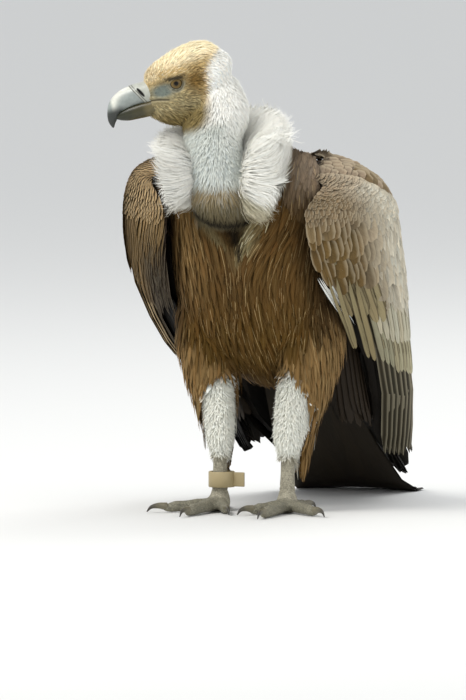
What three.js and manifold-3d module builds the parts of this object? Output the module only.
// A griffon vulture standing at rest, life size, with its wings folded and its head turned
// to its right. Millimetres, +Z up. The bird faces -Y, and its left side is +X.
// Every solid reaches out to the tips of the feathers that cover it.
import Module from 'manifold-3d';
import * as THREE from 'three';
import { mergeVertices } from 'three/addons/utils/BufferGeometryUtils.js';

const wasm = await Module();
wasm.setup();

// ---- driving dimensions -------------------------------------------------------------------

const GAP = 0.3; // clearance between neighbouring solids
const SMALLEST_EDGE = 0.08; // a cut's edges shorter than this are closed up
// From the middle of the whole bird's box to the point on the floor midway between its feet.
const STANCE = new THREE.Vector3(-6.5, -136, 0);

const HEAD_TURN = THREE.MathUtils.degToRad(70); // from straight ahead towards the bird's right
const HEAD_DROP = THREE.MathUtils.degToRad(16); // the bill points down by this much
const EYE_LEVEL = new THREE.Vector3(-60, -119, 544); // point midway between the eyes
const EYE_RADIUS = 9.3;
const EYE_SIDE = 20.5; // from the middle of the head to the middle of an eye
const LID_RADIUS = 7; // opening of the lids
const CERE_FOLD = 0.8; // the cere stands proud of the horn by this much

const RUFF_MIDDLE = new THREE.Vector2(0, -106); // the ruff's collar runs round this point
const RUFF_FLARE = THREE.MathUtils.degToRad(16); // the collar opens upwards by this much

const LEG_X = 45; // from the middle of the bird to a tarsus
const TARSUS_RADIUS = 9.3;
const ANKLE_FLARE = 1.5; // the tarsus is wider by this much where it meets the foot
const TARSUS_TOP = 78;
const ANKLE_Z = 24; // the bare tarsus ends on the foot here

const BAND_RADIUS = 16.5; // the ring on the right leg
const BAND_WALL = 3.2;
const BAND_BOTTOM = 30;
const BAND_TOP = 50;
const TAB_SIZE = new THREE.Vector3(15, 3, 18);
const TAB_OVERLAP = 1; // the tab starts inside the ring's wall

const LEFT = 1;
const RIGHT = -1;
const ACROSS = new THREE.Vector3(1, 0, 0);

// ---- materials ----------------------------------------------------------------------------

function material(color, roughness) {
  return new THREE.MeshStandardMaterial({ color, roughness, metalness: 0 });
}

const CREAM_DOWN = material('#e6d9b8', 0.95);
const WHITE_DOWN = material('#e9e8e4', 0.95);
const BREAST_BROWN = material('#7b5a3c', 0.9);
const COVERT_BROWN = material('#9a8266', 0.85);
const FLIGHT_BLACK = material('#2a221c', 0.7);
const TROUSER_BROWN = material('#a2714a', 0.9);
const HORN = material('#9aa3ad', 0.4);
const CERE_SKIN = material('#8d8c84', 0.55);
const IRIS = material('#8a6a3a', 0.1);
const FOOT_SKIN = material('#8a8782', 0.65);
const CLAW_HORN = material('#4f4a45', 0.45);
const BAND_PLASTIC = material('#d8cdb2', 0.5);

// ---- making solids ------------------------------------------------------------------------

function solidOf(points, faces) {
  const vertProperties = new Float32Array(points.flatMap((p) => [p.x, p.y, p.z]));
  const triVerts = new Uint32Array(faces);
  return new wasm.Manifold(new wasm.Mesh({ numProp: 3, vertProperties, triVerts }));
}

function solidFrom(geometry, matrix) {
  const plain = geometry.clone().applyMatrix4(matrix);
  plain.deleteAttribute('normal');
  plain.deleteAttribute('uv');
  const merged = mergeVertices(plain, 1e-4);
  return new wasm.Manifold(
    new wasm.Mesh({
      numProp: 3,
      vertProperties: new Float32Array(merged.attributes.position.array),
      triVerts: new Uint32Array(merged.index.array),
    }),
  );
}

function ball(at, radii, detail = 12) {
  const place = new THREE.Matrix4().makeTranslation(at.x, at.y, at.z);
  const shape = new THREE.SphereGeometry(1, detail, Math.round(detail / 2));
  return solidFrom(shape, place.multiply(new THREE.Matrix4().makeScale(...radii)));
}

// The body without what its neighbours fill; slivers that a cut leaves behind are dropped.
function carve(body, ...neighbours) {
  const left = neighbours.reduce((rest, neighbour) => rest.subtract(neighbour), body);
  const pieces = left.asOriginal().simplify(SMALLEST_EDGE).decompose();
  return pieces.reduce((a, b) => (a.volume() >= b.volume() ? a : b));
}

// Two closed rings joined by quads, wound so that the faces point away from the middle.
function joinRings(faces, a, b, count) {
  for (let k = 0; k < count; k += 1) {
    const next = (k + 1) % count;
    faces.push(a + k, a + next, b + next, a + k, b + next, b + k);
  }
}

// A body through stations [x, y, z, half width, half depth on one side, half depth on the other].
// `across` is the direction of the width, `grow` swells the body evenly, and `floor` presses it
// flat where it would sink below the ground.
const THINNEST = 0.4; // no station is thinner than this, in half width or half depth
function loft(stations, { rings, sides, across = ACROSS, grow = 0, floor = false }) {
  const middles = new THREE.CatmullRomCurve3(
    stations.map(([x, y, z]) => new THREE.Vector3(x, y, z)),
  );
  const sizes = new THREE.CatmullRomCurve3(
    stations.map(([, , , wide, front = wide, behind = front]) => new THREE.Vector3(wide, front, behind)),
  );
  const points = [];
  const faces = [];
  for (let i = 0; i <= rings; i += 1) {
    const along = middles.getTangent(i / rings);
    const middle = middles.getPoint(i / rings);
    if (i === 0) middle.addScaledVector(along, -grow);
    if (i === rings) middle.addScaledVector(along, grow);
    const wanted = typeof across === 'function' ? across(middle) : across;
    const side = wanted.clone().addScaledVector(along, -wanted.dot(along)).normalize();
    const front = along.clone().cross(side);
    const size = sizes.getPoint(i / rings);
    for (let k = 0; k < sides; k += 1) {
      const turn = ((k + 0.5) / sides) * 2 * Math.PI;
      const depth = Math.sin(turn) > 0 ? size.y : size.z;
      const point = middle.clone();
      point.addScaledVector(side, Math.cos(turn) * (Math.max(size.x, THINNEST) + grow));
      point.addScaledVector(front, Math.sin(turn) * (Math.max(depth, THINNEST) + grow));
      if (floor) point.z = Math.max(point.z, -grow);
      points.push(point);
    }
    if (i > 0) joinRings(faces, (i - 1) * sides, i * sides, sides);
  }
  for (let k = 1; k < sides - 1; k += 1) {
    const last = rings * sides;
    faces.push(0, k + 1, k, last, last + k, last + k + 1);
  }
  return solidOf(points, faces);
}

// A curved plate of feathers: `surface(u, v)` is its outer face for u 0..1 and v -1..1, and
// `thickness(u, v)` lies behind it, on the side away from `outward`.
function plate(surface, thickness, { rows, columns, outward, grow = 0 }) {
  const step = 1e-3;
  const slopes = (u, v) => [
    surface(u + step, v).sub(surface(u - step, v)).normalize(),
    surface(u, v + step).sub(surface(u, v - step)).normalize(),
  ];
  const normalOf = ([alongU, alongV]) => alongU.clone().cross(alongV).normalize();
  const facing = Math.sign(normalOf(slopes(0.5, 0)).dot(outward));
  const aboveFloor = (point) => point.setZ(Math.max(point.z, -grow));
  const outer = [];
  const inner = [];
  for (let i = 0; i <= rows; i += 1) {
    for (let j = 0; j <= columns; j += 1) {
      const u = i / rows;
      const v = (2 * j) / columns - 1;
      const along = slopes(u, v);
      const normal = normalOf(along).multiplyScalar(facing);
      const point = surface(u, v);
      point.addScaledVector(along[0], grow * ((i === rows) - (i === 0)));
      point.addScaledVector(along[1], grow * ((j === columns) - (j === 0)));
      outer.push(point.clone().addScaledVector(normal, grow));
      inner.push(aboveFloor(point.addScaledVector(normal, -thickness(u, v) - grow)));
    }
  }
  const wide = columns + 1;
  const faces = [];
  const quad = (a, b, c, d) => faces.push(a, b, c, a, c, d);
  const behind = outer.length;
  for (let i = 0; i < rows; i += 1) {
    for (let j = 0; j < columns; j += 1) {
      const at = i * wide + j;
      quad(at, at + wide, at + wide + 1, at + 1);
      quad(behind + at, behind + at + 1, behind + at + wide + 1, behind + at + wide);
    }
  }
  for (let i = 0; i < rows; i += 1) {
    const low = i * wide;
    const high = low + columns;
    quad(low, behind + low, behind + low + wide, low + wide);
    quad(high, high + wide, behind + high + wide, behind + high);
  }
  for (let j = 0; j < columns; j += 1) {
    const last = rows * wide + j;
    quad(j, j + 1, behind + j + 1, behind + j);
    quad(last, behind + last, behind + last + 1, last + 1);
  }
  const points = [...outer, ...inner];
  const solid = solidOf(points, faces);
  return solid.volume() > 0 ? solid : solidOf(points, faces.reverse());
}

// A piece's body together with the slightly larger shape that its neighbours keep clear of.
const piece = (make) => ({ body: make(0), clear: make(GAP) });

// ---- head, bill and eyes ------------------------------------------------------------------

const headAlong = new THREE.Vector3(
  -Math.sin(HEAD_TURN) * Math.cos(HEAD_DROP),
  -Math.cos(HEAD_TURN) * Math.cos(HEAD_DROP),
  -Math.sin(HEAD_DROP),
);
const headLeft = new THREE.Vector3(Math.cos(HEAD_TURN), -Math.sin(HEAD_TURN), 0);
const headUp = headAlong.clone().cross(headLeft);

// A point of the head: forward along the bill, up, and to the bird's left of the eye level.
function inHead(along, up, left = 0) {
  const point = EYE_LEVEL.clone().addScaledVector(headAlong, along);
  return point.addScaledVector(headUp, up).addScaledVector(headLeft, left);
}

function headStations(rows) {
  return rows.map(([along, up, ...size]) => [...inHead(along, up).toArray(), ...size]);
}

// [along, up, half width, to the crown, to the throat], from the nape to the lores
const skullStations = headStations([
  [-75, -3, 9, 6, 7],
  [-69, -1, 24, 21, 20],
  [-56, 0, 32, 36, 36],
  [-36, 0, 35, 43, 48],
  [-14, 0, 33, 41, 55],
  [6, 0, 28, 37, 55],
  [22, 0, 23, 30, 49],
  [34, 0, 18, 18, 40],
  [42, 0, 14, 9, 32],
]);
// [along, up, half width, half height], from the base to the tip of the hook
const upperBillStations = headStations([
  [35, -2, 14.4, 13.5],
  [44, -2, 14, 13.5],
  [55, -1.5, 13, 13.2],
  [68, -3, 11.5, 12.5],
  [79, -8, 9.5, 11],
  [86, -16, 7, 8],
  [90, -25, 4, 5],
  [91, -33, 1, 1],
]);
const lowerBillStations = headStations([
  [30, -21, 13, 10],
  [42, -20, 12.3, 10],
  [56, -19.5, 11, 8.8],
  [69, -19.5, 9, 7],
  [79, -20, 6, 4.6],
  [84, -20.5, 3, 2.2],
]);

const skull = piece((grow) => loft(skullStations, { rings: 12, sides: 16, across: headLeft, grow }));
const horn = (grow) => loft(upperBillStations, { rings: 10, sides: 12, across: headLeft, grow });
const upperBill = piece(horn);
const lowerBill = piece((grow) => (
  loft(lowerBillStations, { rings: 5, sides: 10, across: headLeft, grow })
));

const CERE_FRONT = 51; // the cere's front edge, along the head
const CERE_SLANT = THREE.MathUtils.degToRad(27.5); // its top lies forward of its bottom
const NOSTRIL = { along: 45.5, aside: 14.5, width: 2.5, depth: 6, length: 14.6 };
const NOSTRIL_SLANT = THREE.MathUtils.degToRad(29);

// A shape in the head's own directions, leaning forward by `slant`.
function placeInHead(geometry, slant, at) {
  const turn = new THREE.Matrix4().makeBasis(headAlong, headLeft, headUp);
  turn.multiply(new THREE.Matrix4().makeRotationY(slant));
  return solidFrom(geometry, turn.setPosition(at));
}

// Everything behind the slanting front edge of the cere.
function behindCereEdge(shift) {
  const reach = 60;
  const behind = new THREE.BoxGeometry(reach, reach, 80).translate(-reach / 2, 0, 0);
  return placeInHead(behind, CERE_SLANT, inHead(CERE_FRONT + shift, -0.5));
}

function nostril(side) {
  const slit = new THREE.BoxGeometry(NOSTRIL.width, NOSTRIL.depth, NOSTRIL.length);
  return placeInHead(slit, NOSTRIL_SLANT, inHead(NOSTRIL.along, -0.5, side * NOSTRIL.aside));
}

const cereBody = horn(CERE_FOLD).intersect(behindCereEdge(0));
const cere = {
  body: carve(cereBody, nostril(LEFT), nostril(RIGHT)),
  clear: horn(CERE_FOLD + GAP).intersect(behindCereEdge(GAP)),
};
const eye = (side, grow) => ball(inHead(0, 0, side * EYE_SIDE), Array(3).fill(EYE_RADIUS + grow));

// The lids open outwards, like a shallow funnel over the eyeball.
function eyeSocket(side) {
  const opening = new THREE.CylinderGeometry(LID_RADIUS + 2, LID_RADIUS, 12, 12);
  const turn = new THREE.Matrix4().makeBasis(headAlong, headLeft.clone().multiplyScalar(side),
    headUp.clone().multiplyScalar(side));
  return solidFrom(opening, turn.setPosition(inHead(0, 0, side * (EYE_SIDE + 11)))).add(eye(side, GAP));
}

const head = carve(
  skull.body,
  cere.clear,
  upperBill.clear,
  lowerBill.clear,
  eyeSocket(LEFT),
  eyeSocket(RIGHT),
);

// ---- neck, crop, trunk and ruff -----------------------------------------------------------

// Each row is [x, y, z, half width, half depth in front, half depth behind], from the top down.
const neckStations = [
  [-21, -100, 546, 36.5, 32, 32],
  [-16, -101, 526, 41, 34, 35],
  [-13, -104, 505, 44, 35, 36],
  [-15, -109, 475, 38, 35, 35],
  [-11, -109, 440, 39, 37, 37],
  [-6, -96, 406, 43, 40, 40],
  [0, -52, 378, 40, 36, 36],
];
const trunkStations = [
  [0, 0, 472, 26, 14, 16],
  [0, -6, 456, 64, 38, 38],
  [0, -18, 422, 92, 60, 60],
  [0, -26, 384, 104, 78, 80],
  [0, -15, 330, 106, 88, 105],
  [0, 20, 275, 106, 88, 105],
  [0, 62, 230, 98, 75, 98],
  [0, 105, 195, 78, 55, 86],
  [0, 142, 176, 54, 34, 58],
  [0, 174, 164, 38, 18, 34],
  [0, 206, 140, 32, 6, 18],
  [0, 238, 112, 24, 2, 5],
];
const neck = piece((grow) => loft(neckStations, { rings: 8, sides: 16, grow }));
const CROP_MIDDLE = new THREE.Vector3(-2, -112, 388);
const crop = piece((grow) => ball(CROP_MIDDLE, [36 + grow, 32 + grow, 36 + grow], 14));
const trunk = piece((grow) => loft(trunkStations, { rings: 16, sides: 20, grow }));

// [degrees round the collar from the bird's left, radius, height, half height,
// depth outwards, depth inwards]
const collarRows = [
  [-38, 50, 428, 34, 14, 8],
  [-24, 54, 429, 64, 27, 22],
  [14, 56, 433, 72, 30, 36],
  [68, 57, 440, 66, 28, 36],
  [120, 57, 440, 62, 28, 34],
  [170, 54, 438, 56, 26, 32],
  [210, 50, 426, 50, 22, 28],
  [232, 44, 420, 26, 10, 10],
];
const collarStations = collarRows.map(([degrees, radius, height, ...size]) => {
  const turn = THREE.MathUtils.degToRad(degrees);
  return [
    RUFF_MIDDLE.x + radius * Math.cos(turn),
    RUFF_MIDDLE.y + radius * Math.sin(turn),
    height,
    ...size,
  ];
});

function collarUp(middle) {
  const away = new THREE.Vector3(middle.x - RUFF_MIDDLE.x, middle.y - RUFF_MIDDLE.y, 0).normalize();
  return away.multiplyScalar(Math.sin(RUFF_FLARE)).setZ(Math.cos(RUFF_FLARE));
}

const collar = piece((grow) => loft(collarStations, { rings: 16, sides: 12, across: collarUp, grow }));

// ---- wings --------------------------------------------------------------------------------

// A wing's outer face is ruled by three lines, the leading edge, the crest and the trailing
// edge, each through [x, y, z] points from the shoulder to the tip.
function wingSurface(side, rails) {
  const lines = rails.map((rail) => new THREE.CatmullRomCurve3(
    rail.map(([x, y, z]) => new THREE.Vector3(side * x, y, z)),
  ));
  return (u, v) => {
    const t = THREE.MathUtils.clamp(u, 0, 1);
    const [lead, crest, trail] = lines.map((line) => line.getPoint(t));
    const half = trail.clone().sub(lead).multiplyScalar(v / 2);
    const sag = lead.add(trail).multiplyScalar(0.5).sub(crest).multiplyScalar(v * v);
    return crest.add(half).add(sag);
  };
}

const trailRail = [
  [72, 14, 452], [64, 40, 446], [48, 66, 428], [40, 104, 382],
  [30, 162, 296], [28, 226, 198], [34, 308, 108],
];
const wingRails = {
  left: [
    [[86, -56, 428], [116, -72, 416], [104, -98, 384], [106, -80, 318],
      [112, 30, 228], [100, 150, 150], [84, 225, 62]],
    [[102, -18, 450], [150, -16, 436], [180, 4, 402], [184, 42, 318],
      [166, 115, 225], [136, 215, 140], [108, 290, 62]],
    trailRail,
  ],
  right: [
    [[82, -60, 432], [108, -76, 420], [84, -102, 384], [90, -88, 318],
      [106, 26, 228], [98, 150, 150], [84, 225, 62]],
    [[94, -22, 452], [136, -26, 437], [164, -4, 402], [172, 36, 318],
      [156, 112, 225], [130, 215, 140], [106, 290, 62]],
    trailRail,
  ],
};
// the ten longest feathers of each wing reach back over the sides of the tail
const primaryRails = [
  [[92, 112, 186], [75, 168, 128], [76, 240, 83], [67, 318, 55], [54, 392, 30]],
  [[112, 130, 196], [100, 212, 124], [86, 288, 82], [70, 350, 48], [55, 408, 23]],
  [[64, 186, 206], [55, 266, 134], [46, 336, 80], [40, 376, 50], [42, 402, 28]],
];
const COVERTS_END = 0.666; // share of the wing's length that the coverts reach
const SECONDARIES_START = 0.67;

function stretch(surface, from, to) {
  return (u, v) => surface(from + (to - from) * u, v);
}

function wing(side, rails) {
  const whole = wingSurface(side, rails);
  const outward = new THREE.Vector3(side, 0.35, 0.25);
  return {
    // deepest over the folded bones, halfway along, and thin at its two long edges
    arm: piece((grow) => plate(
      stretch(whole, 0, COVERTS_END),
      (u, v) => (30 + 40 * u * (1 - u) - 16 * u) * (1 - 0.68 * v * v),
      { rows: 10, columns: 6, outward, grow },
    )),
    secondaries: piece((grow) => plate(
      stretch(whole, SECONDARIES_START, 1),
      (u, v) => (16 - 10 * u) * (1 - 0.75 * v * v),
      { rows: 7, columns: 6, outward, grow },
    )),
    primaries: piece((grow) => plate(
      wingSurface(side, primaryRails),
      (u, v) => 5 * (1 - 0.7 * v * v),
      { rows: 7, columns: 4, outward, grow },
    )),
  };
}

// ---- tail ---------------------------------------------------------------------------------

const TAIL_FEATHERS = 14;
const TAIL_ROOT = 35; // half the fan's width at its root
const TAIL_SPREAD = 50; // and how much wider each half is at the tips
const TAIL_DROOP = 10;
const TAIL_LOWEST = 2.6; // the tips' upper side; the lower one lies on the floor
const tailMiddle = new THREE.CatmullRomCurve3([
  new THREE.Vector3(0, 158, 182),
  new THREE.Vector3(0, 230, 112),
  new THREE.Vector3(0, 310, 44),
  new THREE.Vector3(0, 382, 8),
  new THREE.Vector3(0, 428, 3.2),
]);

// The fan droops a little towards its edges, and each feather ends in a blunt point.
function tailSurface(u, v) {
  const feather = ((v + 1) / 2) * TAIL_FEATHERS;
  const blunt = Math.abs(feather - Math.floor(feather) - 0.5);
  const reach = 1 - 0.09 * v * v - 0.03 * blunt;
  const t = THREE.MathUtils.clamp(u, 0, 1);
  const point = tailMiddle.getPoint(t * reach);
  point.x = v * (TAIL_ROOT + TAIL_SPREAD * Math.sqrt(t));
  point.z = Math.max(point.z - TAIL_DROOP * v * v * Math.sin(Math.PI * t), TAIL_LOWEST);
  return point;
}

const tail = piece((grow) => plate(tailSurface, (u) => 8 - 5.4 * u, {
  rows: 5,
  columns: 2 * TAIL_FEATHERS,
  outward: new THREE.Vector3(0, 0.3, 1),
  grow,
}));

// ---- legs and feet ------------------------------------------------------------------------

// Each row is [x from the tarsus, y, z, half width, half depth in front, half depth behind].
const THIGH = [
  [10, 22, 292, 28, 40, 40],
  [21, 24, 250, 48, 60, 60],
  [21, 25, 200, 46, 58, 58],
  [15, 22, 150, 36, 45, 45],
  [9, 21, 110, 26, 34, 34],
  [5, 26, 70, 16, 20, 22],
  [3, 34, 34, 3, 4, 4],
];
const SHANK = [
  [7, 8, 195, 20, 20, 20],
  [5, 5, 150, 25, 25, 25],
  [2, 2, 120, 24, 24, 24],
  [0, 0, 90, 22, 22, 22],
  [0, 0, 64, 14, 14, 14],
];
const FOOT = [
  [0, -2, ANKLE_Z - GAP, 11.5],
  [0, -2, 19, 13],
  [0, -2, 11, 14],
  [0, -2, 4, 12.5],
  [0, -2, 0, 11],
];
const beside = (side, rows) => rows.map(([x, ...rest]) => [side * (LEG_X + x), ...rest]);

// heading: degrees from straight ahead towards the outside; radius: at the toe's root
const TOES = [
  { name: 'middle', heading: 3, length: 105, radius: 9 },
  { name: 'inner', heading: -28, length: 62, radius: 8.5 },
  { name: 'outer', heading: 48, length: 76, radius: 8.5 },
  { name: 'hind', heading: 168, length: 46, radius: 8.5 },
];
const CLAW_LENGTH = 27;

function tarsus(side, grow) {
  const rows = [[0, 0, TARSUS_TOP, TARSUS_RADIUS + 1], [0, -1, 50, TARSUS_RADIUS],
    [0, -2, ANKLE_Z, TARSUS_RADIUS + ANKLE_FLARE]];
  return loft(beside(side, rows), { rings: 3, sides: 10, grow });
}

function footPad(side, grow) {
  return loft(beside(side, FOOT), { rings: 4, sides: 12, grow, floor: true });
}

function towards(side, heading) {
  const turn = THREE.MathUtils.degToRad(heading);
  return new THREE.Vector3(side * Math.sin(turn), -Math.cos(turn), 0);
}

// A toe runs level from the foot to its claw, and swells at the pads under its joints.
function toeLine(side, { heading, length, radius }, grow) {
  const forward = towards(side, heading);
  const rows = [0, 0.2, 0.4, 0.6, 0.8, 1].map((t, i) => {
    const size = radius * (1 - 0.22 * t) * (i % 2 ? 0.97 : 1.05) * (t === 1 ? 0.72 : 1);
    const at = forward.clone().multiplyScalar(length * t);
    return [side * LEG_X + at.x, at.y - 2, size * 0.9 + 2.5 * (1 - t), size, size];
  });
  const across = new THREE.Vector3(-forward.y, forward.x, 0);
  return loft(rows, { rings: 8, sides: 8, across, grow, floor: true });
}

function claw(side, { heading, length, radius }, grow) {
  const forward = towards(side, heading);
  const rows = [0, 0.3, 0.65, 1].map((t) => {
    const at = forward.clone().multiplyScalar(length - 4 + CLAW_LENGTH * Math.sin(t * 1.35));
    const height = radius * 0.9 + 2.2 * Math.sin(Math.PI * t) - (radius - 2.6) * t * t;
    const size = 5 * (1 - 0.86 * t);
    return [side * LEG_X + at.x, at.y - 2, height, size * 0.8, size];
  });
  const across = new THREE.Vector3(-forward.y, forward.x, 0);
  return loft(rows, { rings: 4, sides: 6, across, grow, floor: true });
}

function leg(side) {
  const thigh = piece((grow) => loft(beside(side, THIGH), { rings: 8, sides: 12, grow }));
  const shank = piece((grow) => loft(beside(side, SHANK), { rings: 6, sides: 10, grow }));
  const shin = piece((grow) => tarsus(side, grow));
  const foot = piece((grow) => footPad(side, grow));
  const parts = [];
  for (const shape of TOES) {
    const toe = piece((grow) => toeLine(side, shape, grow));
    const nail = piece((grow) => claw(side, shape, grow));
    const before = parts.flatMap((other) => other.clear);
    parts.push({
      name: shape.name,
      toe: carve(toe.body, foot.clear, shin.clear, ...before),
      claw: carve(nail.body, toe.clear),
      clear: toe.clear,
    });
  }
  return {
    thigh,
    shank,
    tarsus: carve(shin.body, shank.clear),
    tarsusClear: shin.clear,
    foot: carve(foot.body, shin.clear),
    toes: parts,
  };
}

// The ring hangs a little off the middle of the tarsus, against its outer side.
function legRing() {
  const inner = BAND_RADIUS - BAND_WALL;
  const profile = [
    [inner, BAND_BOTTOM],
    [BAND_RADIUS, BAND_BOTTOM + 1],
    [BAND_RADIUS, BAND_TOP - 1],
    [inner, BAND_TOP],
    [inner, BAND_BOTTOM],
  ].map(([r, z]) => new THREE.Vector2(r, z));
  const aside = inner - TARSUS_RADIUS - ANKLE_FLARE - GAP;
  const at = new THREE.Vector3(-LEG_X + aside, -1, 0);
  const turn = new THREE.Matrix4().makeRotationX(Math.PI / 2).setPosition(at);
  const band = solidFrom(new THREE.LatheGeometry(profile, 24), turn);
  const tab = new THREE.BoxGeometry(...TAB_SIZE.toArray());
  const tabX = at.x + BAND_RADIUS + TAB_SIZE.x / 2 - TAB_OVERLAP;
  const tabAt = new THREE.Vector3(tabX, at.y, (BAND_TOP + BAND_BOTTOM) / 2);
  return { band, tab: solidFrom(tab, new THREE.Matrix4().setPosition(tabAt)) };
}

// ---- the bird -----------------------------------------------------------------------------

const group = new THREE.Group();

function add(name, solid, look) {
  const { vertProperties, triVerts } = solid.getMesh();
  const geometry = new THREE.BufferGeometry();
  geometry.setAttribute('position', new THREE.BufferAttribute(new Float32Array(vertProperties), 3));
  geometry.setIndex(new THREE.BufferAttribute(new Uint32Array(triVerts), 1));
  geometry.computeVertexNormals();
  const mesh = new THREE.Mesh(geometry, look);
  mesh.name = name;
  group.add(mesh);
}

add('head', head, CREAM_DOWN);
add('cere', cere.body, CERE_SKIN);
add('bill_upper', carve(upperBill.body, behindCereEdge(GAP)), HORN);
add('bill_lower', carve(lowerBill.body, upperBill.clear, cere.clear), HORN);
add('neck', carve(neck.body, skull.clear, lowerBill.clear), WHITE_DOWN);
add('crop', carve(crop.body, neck.clear), WHITE_DOWN);
add('trunk', carve(trunk.body, neck.clear, crop.clear), BREAST_BROWN);
add('ruff', carve(collar.body, neck.clear, crop.clear, trunk.clear, skull.clear), WHITE_DOWN);
add('tail', carve(tail.body, trunk.clear), FLIGHT_BLACK);

for (const [name, side] of [['left', LEFT], ['right', RIGHT]]) {
  const { thigh, shank, tarsus: shin, tarsusClear, foot, toes } = leg(side);
  const { arm, secondaries, primaries } = wing(side, wingRails[name]);
  add(`eye_${name}`, eye(side, 0), IRIS);
  add(`thigh_${name}`, carve(thigh.body, trunk.clear, shank.clear, tarsusClear), TROUSER_BROWN);
  add(`leg_${name}`, carve(shank.body, trunk.clear), WHITE_DOWN);
  add(`tarsus_${name}`, shin, FOOT_SKIN);
  add(`foot_${name}`, foot, FOOT_SKIN);
  for (const toe of toes) {
    add(`toe_${toe.name}_${name}`, toe.toe, FOOT_SKIN);
    add(`claw_${toe.name}_${name}`, toe.claw, CLAW_HORN);
  }
  add(`wing_${name}`, carve(arm.body, trunk.clear, collar.clear, thigh.clear), COVERT_BROWN);
  const flight = carve(secondaries.body, trunk.clear, thigh.clear, tail.clear, arm.clear);
  add(`secondaries_${name}`, flight, FLIGHT_BLACK);
  const tips = carve(primaries.body, tail.clear, secondaries.clear, arm.clear, trunk.clear);
  add(`primaries_${name}`, tips, FLIGHT_BLACK);
}

const ring = legRing();
add('leg_ring', ring.band, BAND_PLASTIC);
add('leg_ring_tab', carve(ring.tab, ring.band), BAND_PLASTIC);

group.position.copy(STANCE);

export default group;
